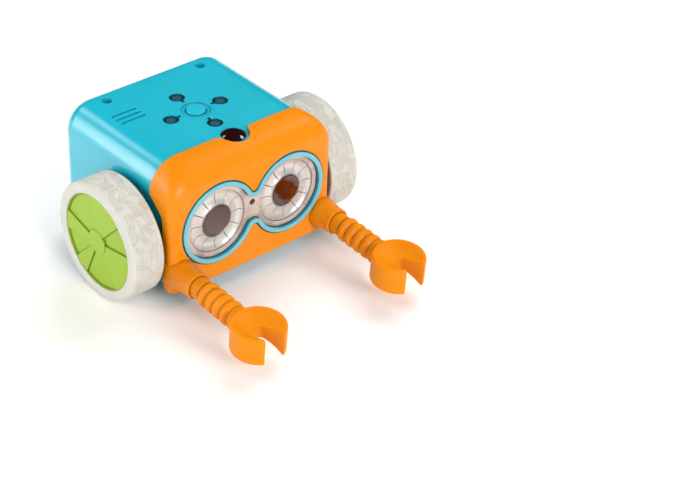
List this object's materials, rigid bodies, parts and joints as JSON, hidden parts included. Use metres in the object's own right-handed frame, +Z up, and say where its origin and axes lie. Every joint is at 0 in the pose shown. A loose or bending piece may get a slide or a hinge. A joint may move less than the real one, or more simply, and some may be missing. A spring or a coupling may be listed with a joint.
{
  "type": "educational coding robot",
  "caption": "Boxy two-wheeled toy robot with big round eyes, a clip-on face and plug-in ribbed claw arms; buttons and windows on top.",
  "frame": {"origin": "centre of the underside of the whole robot's box, on the ground it stands on", "axes": "+X to the robot's right-hand wheel as seen from the front, the face looks along -Y, +Z up"},
  "size_m": [0.1464, 0.1666, 0.0782],
  "materials": {
    "casing_blue": "satin sky-blue moulded plastic",
    "base_blue": "fine-textured sky-blue moulded plastic",
    "bezel_blue": "satin pale-blue moulded plastic",
    "button_blue": "satin sky-blue moulded plastic",
    "headgear_orange": "satin orange moulded plastic",
    "arm_orange": "soft satin orange moulded plastic",
    "tyre_grey": "matt warm grey elastomer with an engraved tread",
    "hub_green": "satin lime-green moulded plastic",
    "lens_clear": "clear moulded lens",
    "eye_frame_white": "milky white plastic",
    "reflector_silver": "pearl silver paint on plastic",
    "pupil_smoke": "smoky red-brown translucent window",
    "signal_smoke": "near-black infrared-clear plastic",
    "indicator_smoke": "dark teal translucent window",
    "board_green": "solder-masked circuit board",
    "component_black": "black component body",
    "led_white": "clear-capped light",
    "switch_black": "black moulded plastic",
    "speaker_black": "black frame with a grey magnet",
    "gear_white": "natural white engineering plastic",
    "gearbox_grey": "grey engineering plastic",
    "motor_can": "plated can",
    "steel": "bright drawn steel",
    "screw_steel": "dark plated screw",
    "cell_wrap": "printed film over a metal can",
    "contact_metal": "nickel-plated spring steel",
    "caster_steel": "polished ball"
  },
  "bodies": {
    "chassis": {"upper_casing": "casing_blue", "lower_casing": "base_blue", "eye_bezel": "bezel_blue", "eye_lens": "lens_clear", "eye_frame": "eye_frame_white", "object_sensor": "component_black", "signal_dome": "signal_smoke", "main_board": "board_green", "indicator_leds": "led_white", "go_switch": "switch_black", "speaker": "speaker_black", "front_board": "board_green", "eye_leds": "led_white", "line_sensor": "component_black", "mode_switch_body": "component_black", "battery_cells": "cell_wrap", "battery_contacts": "contact_metal", "battery_door": "base_blue", "battery_door_screw": "screw_steel", "case_screws": "screw_steel", "board_screws": "screw_steel", "caster_retainer": "base_blue", "indicator_front": "indicator_smoke", "indicator_back": "indicator_smoke", "indicator_left": "indicator_smoke", "indicator_right": "indicator_smoke", "reflector_left": "reflector_silver", "reflector_right": "reflector_silver", "pupil_left": "pupil_smoke", "pupil_right": "pupil_smoke", "gearbox_inner_left": "gearbox_grey", "gearbox_inner_right": "gearbox_grey", "gearbox_outer_left": "gearbox_grey", "gearbox_outer_right": "gearbox_grey", "motor_left": "motor_can", "motor_right": "motor_can", "idler_pin_left": "steel", "idler_pin_right": "steel"},
    "go_button": {"go_button": "button_blue"},
    "power_slider": {"power_slider": "switch_black"},
    "caster_ball": {"caster_ball": "caster_steel"},
    "headgear": {"headgear": "headgear_orange"},
    "wheel_left": {"tyre_left": "tyre_grey", "hub_left": "hub_green", "axle_left": "steel", "drive_gear_left": "gear_white"},
    "idler_left": {"idler_left": "gear_white"},
    "pinion_left": {"motor_pinion_left": "gear_white", "rotor_shaft_left": "steel"},
    "arm_left": {"arm_left": "arm_orange"},
    "wheel_right": {"tyre_right": "tyre_grey", "hub_right": "hub_green", "axle_right": "steel", "drive_gear_right": "gear_white"},
    "idler_right": {"idler_right": "gear_white"},
    "pinion_right": {"motor_pinion_right": "gear_white", "rotor_shaft_right": "steel"},
    "arm_right": {"arm_right": "arm_orange"}
  },
  "joints": [
    {"name": "go_button_press", "type": "slide", "parent": "chassis", "child": "go_button", "axis": [0, 0, -1], "range_m": [0, 0.0012], "stiffness_N_per_m": 800},
    {"name": "power_slider_slide", "type": "slide", "parent": "chassis", "child": "power_slider", "axis": [1, 0, 0], "range_m": [0, 0.008]},
    {"name": "caster_roll", "type": "hinge", "parent": "chassis", "child": "caster_ball", "pos_m": [0, 0.07384, 0.005], "axis": [1, 0, 0], "continuous": true},
    {"name": "headgear_pull", "type": "slide", "parent": "chassis", "child": "headgear", "axis": [0, -1, 0], "range_m": [0, 0.025]},
    {"name": "wheel_left_spin", "type": "hinge", "parent": "chassis", "child": "wheel_left", "pos_m": [-0.064, 0.02334, 0.032], "axis": [1, 0, 0], "continuous": true},
    {"name": "idler_left_spin", "type": "hinge", "parent": "chassis", "child": "idler_left", "pos_m": [-0.0415, 0.03834, 0.032], "axis": [1, 0, 0], "continuous": true},
    {"name": "pinion_left_spin", "type": "hinge", "parent": "chassis", "child": "pinion_left", "pos_m": [-0.0395, 0.05334, 0.032], "axis": [1, 0, 0], "continuous": true},
    {"name": "arm_left_twist", "type": "hinge", "parent": "headgear", "child": "arm_left", "pos_m": [-0.0458, -0.02396, 0.0194], "axis": [0, -0.9986, -0.0523], "continuous": true},
    {"name": "wheel_right_spin", "type": "hinge", "parent": "chassis", "child": "wheel_right", "pos_m": [0.064, 0.02334, 0.032], "axis": [1, 0, 0], "continuous": true},
    {"name": "idler_right_spin", "type": "hinge", "parent": "chassis", "child": "idler_right", "pos_m": [0.0415, 0.03834, 0.032], "axis": [1, 0, 0], "continuous": true},
    {"name": "pinion_right_spin", "type": "hinge", "parent": "chassis", "child": "pinion_right", "pos_m": [0.0395, 0.05334, 0.032], "axis": [1, 0, 0], "continuous": true},
    {"name": "arm_right_twist", "type": "hinge", "parent": "headgear", "child": "arm_right", "pos_m": [0.0458, -0.02396, 0.0194], "axis": [0, -0.9986, -0.0523], "continuous": true}
  ],
  "couplings": [
    {"joint": "idler_left_spin", "follows": "wheel_left_spin", "ratio": -4},
    {"joint": "pinion_left_spin", "follows": "wheel_left_spin", "ratio": 16},
    {"joint": "idler_right_spin", "follows": "wheel_right_spin", "ratio": -4},
    {"joint": "pinion_right_spin", "follows": "wheel_right_spin", "ratio": 16}
  ]
}
